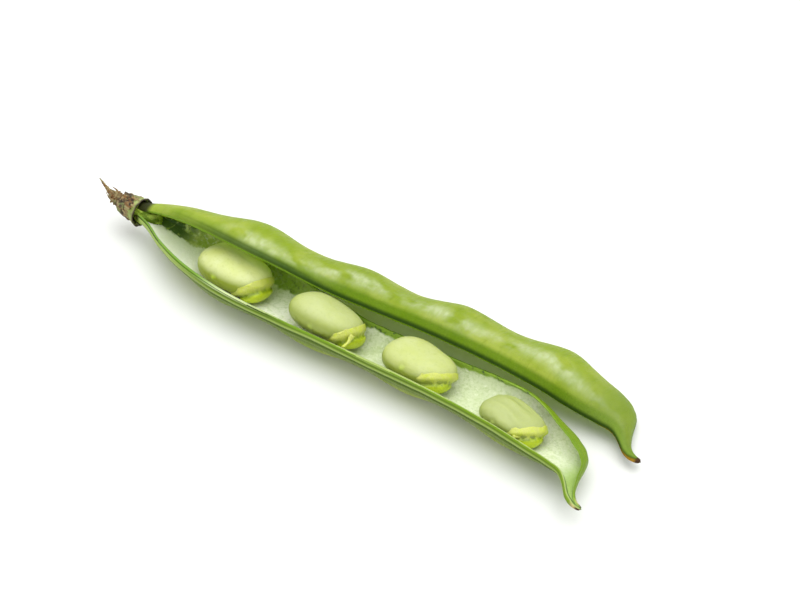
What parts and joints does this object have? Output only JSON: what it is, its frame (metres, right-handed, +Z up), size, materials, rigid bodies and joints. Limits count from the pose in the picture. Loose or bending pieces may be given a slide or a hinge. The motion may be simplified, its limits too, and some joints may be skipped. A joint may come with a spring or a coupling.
{
  "type": "broad bean pod",
  "caption": "Split broad bean pod lying open: a lined lower half holding beans beside its upturned upper half, joined at a dried stalk.",
  "frame": {"origin": "on the surface it lies on, under the middle of the whole part", "axes": "+X along the pod from the stalk to the beaks, +Y from the half with the beans to the other half, +Z up"},
  "size_m": [0.181, 0.0472, 0.0203],
  "materials": {
    "pod": "waxy green skin with a pale, downy lining",
    "bean": "smooth, pale green, slightly waxy",
    "bean_stalk": "moist yellow-green flesh",
    "calyx": "green cup with dry brown sepals",
    "stalk": "dry, fibrous"
  },
  "bodies": {
    "root": {"pod": "pod", "bean_1": "bean", "bean_2": "bean", "bean_3": "bean", "bean_4": "bean", "bean_stalk_1": "bean_stalk", "bean_stalk_2": "bean_stalk", "bean_stalk_3": "bean_stalk", "bean_stalk_4": "bean_stalk", "calyx": "calyx", "stalk": "stalk"}
  },
  "joints": []
}
